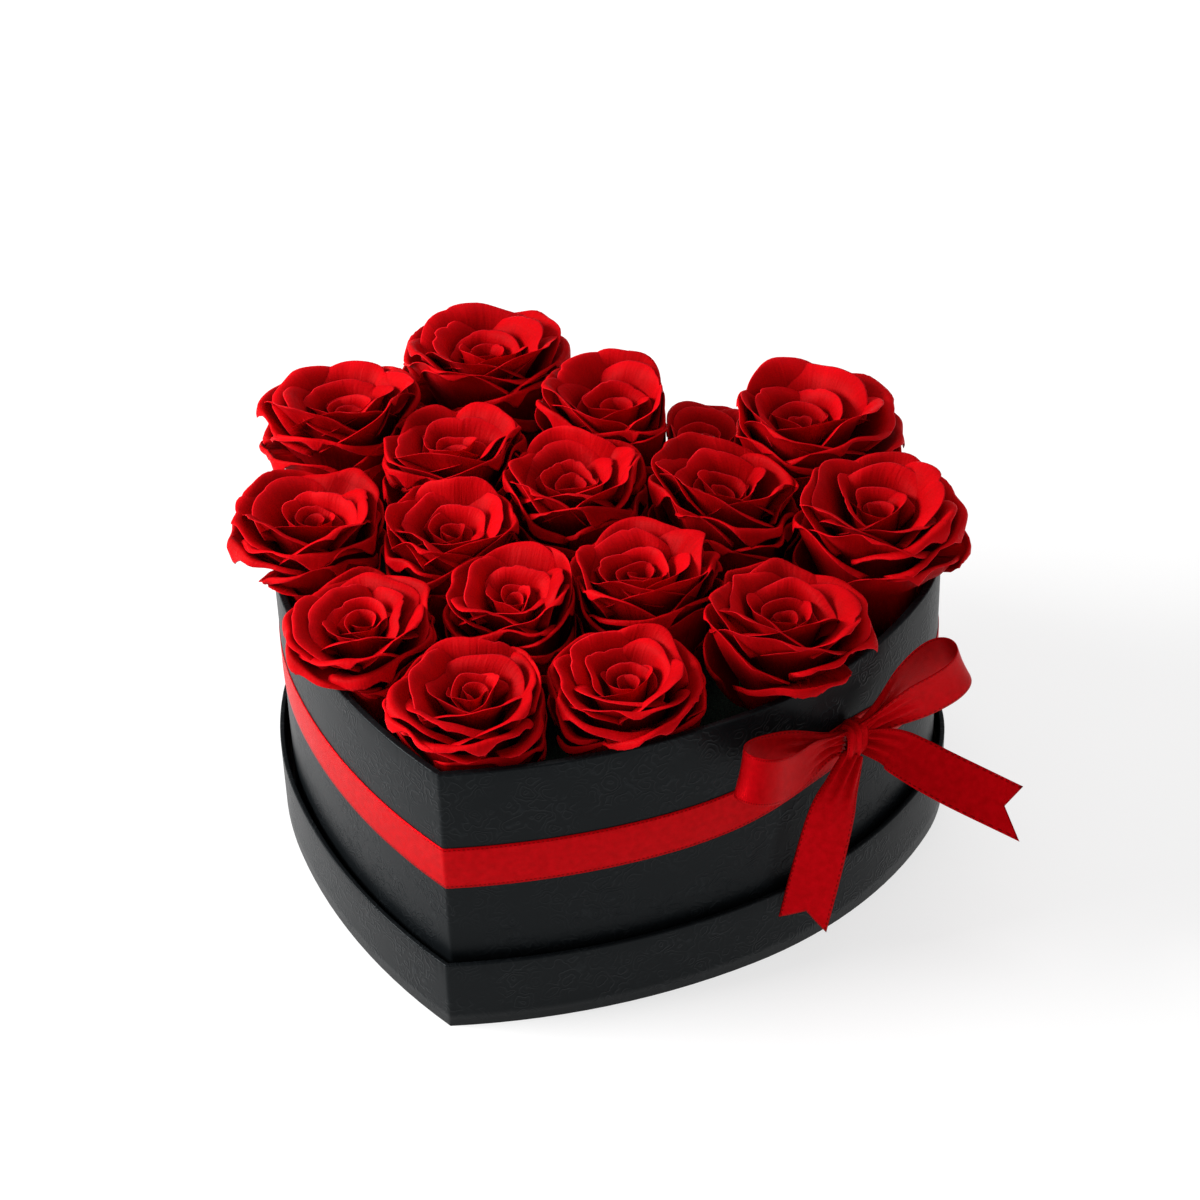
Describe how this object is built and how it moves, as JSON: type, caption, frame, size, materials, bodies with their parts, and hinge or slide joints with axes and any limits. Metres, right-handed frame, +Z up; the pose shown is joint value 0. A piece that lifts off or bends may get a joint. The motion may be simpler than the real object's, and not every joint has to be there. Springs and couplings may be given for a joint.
{
  "type": "flower box",
  "caption": "Heart-shaped paper-covered board box standing in its own upturned lid, packed with rose heads on stems in floral foam, with a ribbon band and a side bow.",
  "frame": {"origin": "on the underside of the lid, under the middle of the heart's length and on its mirror line", "axes": "+Z up; -Y towards the heart's point, +Y towards its cleft; +X towards the side that carries the bow"},
  "size_m": [0.3119, 0.2418, 0.146],
  "materials": {
    "black_paper": "charcoal-black embossed covering paper, low sheen",
    "lining_paper": "plain black uncoated paper",
    "greyboard": "raw grey chipboard",
    "red_satin": "single-face red satin ribbon with woven edges",
    "red_petal": "deep red velvety rose petal",
    "green_stem": "green stem, hip and sepals",
    "floral_foam": "dark green open-cell floral foam",
    "clear_film": "thin translucent film around the foam"
  },
  "bodies": {
    "lid": {"lid_base_paper": "black_paper", "lid_panel": "greyboard", "lid_rim_left": "greyboard", "lid_rim_right": "greyboard", "lid_wrap": "black_paper", "lid_lining": "lining_paper"},
    "box": {"box_base_paper": "black_paper", "box_base": "greyboard", "box_wall_left": "greyboard", "box_wall_right": "greyboard", "box_wrap": "black_paper", "box_lining": "lining_paper", "ribbon_band": "red_satin", "bow_knot": "red_satin", "bow_loop_left": "red_satin", "bow_loop_right": "red_satin", "bow_tail_left": "red_satin", "bow_tail_right": "red_satin"},
    "insert": {"foam_film": "clear_film", "foam_block_left": "floral_foam", "foam_block_right": "floral_foam"},
    "rose_01": {"rose_01_stem": "green_stem", "rose_01_bloom": "red_petal"},
    "rose_02": {"rose_02_stem": "green_stem", "rose_02_bloom": "red_petal"},
    "rose_03": {"rose_03_stem": "green_stem", "rose_03_bloom": "red_petal"},
    "rose_04": {"rose_04_stem": "green_stem", "rose_04_bloom": "red_petal"},
    "rose_05": {"rose_05_stem": "green_stem", "rose_05_bloom": "red_petal"},
    "rose_06": {"rose_06_stem": "green_stem", "rose_06_bloom": "red_petal"},
    "rose_07": {"rose_07_stem": "green_stem", "rose_07_bloom": "red_petal"},
    "rose_08": {"rose_08_stem": "green_stem", "rose_08_bloom": "red_petal"},
    "rose_09": {"rose_09_stem": "green_stem", "rose_09_bloom": "red_petal"},
    "rose_10": {"rose_10_stem": "green_stem", "rose_10_bloom": "red_petal"},
    "rose_11": {"rose_11_stem": "green_stem", "rose_11_bloom": "red_petal"},
    "rose_12": {"rose_12_stem": "green_stem", "rose_12_bloom": "red_petal"},
    "rose_13": {"rose_13_stem": "green_stem", "rose_13_bloom": "red_petal"},
    "rose_14": {"rose_14_stem": "green_stem", "rose_14_bloom": "red_petal"},
    "rose_15": {"rose_15_stem": "green_stem", "rose_15_bloom": "red_petal"},
    "rose_16": {"rose_16_stem": "green_stem", "rose_16_bloom": "red_petal"},
    "rose_17": {"rose_17_stem": "green_stem", "rose_17_bloom": "red_petal"}
  },
  "joints": [
    {"name": "box_lift", "type": "slide", "parent": "lid", "child": "box", "axis": [0, 0, 1], "range_m": [0, 0.05]},
    {"name": "insert_lift", "type": "slide", "parent": "box", "child": "insert", "axis": [0, 0, 1], "range_m": [0, 0.12]},
    {"name": "rose_01_lift", "type": "slide", "parent": "insert", "child": "rose_01", "axis": [0, 0, 1], "range_m": [0, 0.09]},
    {"name": "rose_02_lift", "type": "slide", "parent": "insert", "child": "rose_02", "axis": [0, 0, 1], "range_m": [0, 0.09]},
    {"name": "rose_03_lift", "type": "slide", "parent": "insert", "child": "rose_03", "axis": [0, 0, 1], "range_m": [0, 0.09]},
    {"name": "rose_04_lift", "type": "slide", "parent": "insert", "child": "rose_04", "axis": [0, 0, 1], "range_m": [0, 0.09]},
    {"name": "rose_05_lift", "type": "slide", "parent": "insert", "child": "rose_05", "axis": [0, 0, 1], "range_m": [0, 0.09]},
    {"name": "rose_06_lift", "type": "slide", "parent": "insert", "child": "rose_06", "axis": [0, 0, 1], "range_m": [0, 0.09]},
    {"name": "rose_07_lift", "type": "slide", "parent": "insert", "child": "rose_07", "axis": [0, 0, 1], "range_m": [0, 0.09]},
    {"name": "rose_08_lift", "type": "slide", "parent": "insert", "child": "rose_08", "axis": [0, 0, 1], "range_m": [0, 0.09]},
    {"name": "rose_09_lift", "type": "slide", "parent": "insert", "child": "rose_09", "axis": [0, 0, 1], "range_m": [0, 0.09]},
    {"name": "rose_10_lift", "type": "slide", "parent": "insert", "child": "rose_10", "axis": [0, 0, 1], "range_m": [0, 0.09]},
    {"name": "rose_11_lift", "type": "slide", "parent": "insert", "child": "rose_11", "axis": [0, 0, 1], "range_m": [0, 0.09]},
    {"name": "rose_12_lift", "type": "slide", "parent": "insert", "child": "rose_12", "axis": [0, 0, 1], "range_m": [0, 0.09]},
    {"name": "rose_13_lift", "type": "slide", "parent": "insert", "child": "rose_13", "axis": [0, 0, 1], "range_m": [0, 0.09]},
    {"name": "rose_14_lift", "type": "slide", "parent": "insert", "child": "rose_14", "axis": [0, 0, 1], "range_m": [0, 0.09]},
    {"name": "rose_15_lift", "type": "slide", "parent": "insert", "child": "rose_15", "axis": [0, 0, 1], "range_m": [0, 0.09]},
    {"name": "rose_16_lift", "type": "slide", "parent": "insert", "child": "rose_16", "axis": [0, 0, 1], "range_m": [0, 0.09]},
    {"name": "rose_17_lift", "type": "slide", "parent": "insert", "child": "rose_17", "axis": [0, 0, 1], "range_m": [0, 0.09]}
  ]
}
